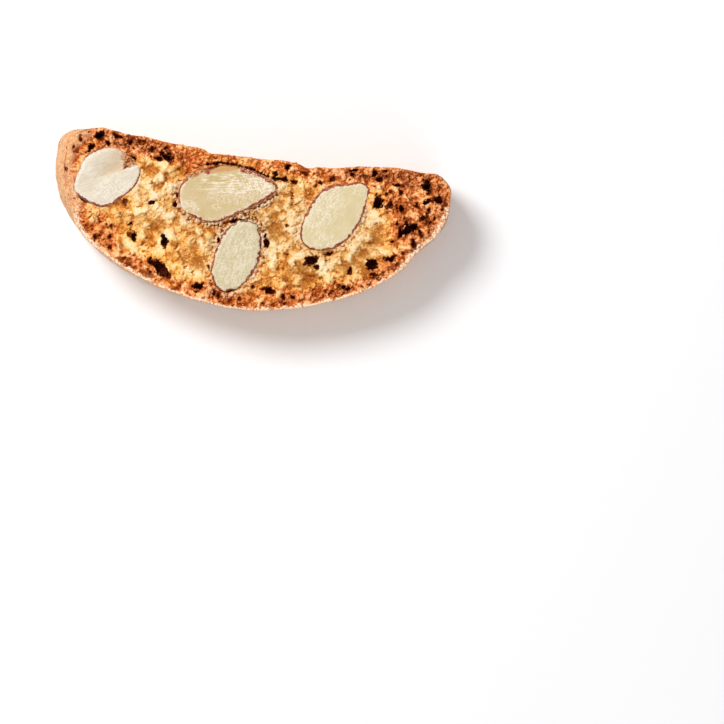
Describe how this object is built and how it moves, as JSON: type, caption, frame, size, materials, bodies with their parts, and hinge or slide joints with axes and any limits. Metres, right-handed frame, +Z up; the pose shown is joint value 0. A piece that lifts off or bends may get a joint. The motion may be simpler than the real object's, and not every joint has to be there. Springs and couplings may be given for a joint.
{
  "type": "almond biscotti",
  "caption": "Half-moon slice of twice-baked almond biscotti, lying on a cut face, with almonds cut through in its open crumb.",
  "frame": {"origin": "centre of the box round the slice, on the surface that it rests on", "axes": "+X along the slice, +Y towards the log's flat base, +Z up out of the upper cut face"},
  "size_m": [0.0802, 0.0326, 0.015],
  "materials": {
    "baked_dough": "dry, matte baked dough: pale yellow crumb with browned pores and a golden tan crust",
    "almond_kernel": "cut almond, ivory to pale green and slightly satin, with a thin red-brown skin at its edge"
  },
  "bodies": {
    "root": {"biscuit": "baked_dough", "almond_left": "almond_kernel", "almond_centre": "almond_kernel", "almond_lower": "almond_kernel", "almond_right": "almond_kernel"}
  },
  "joints": []
}
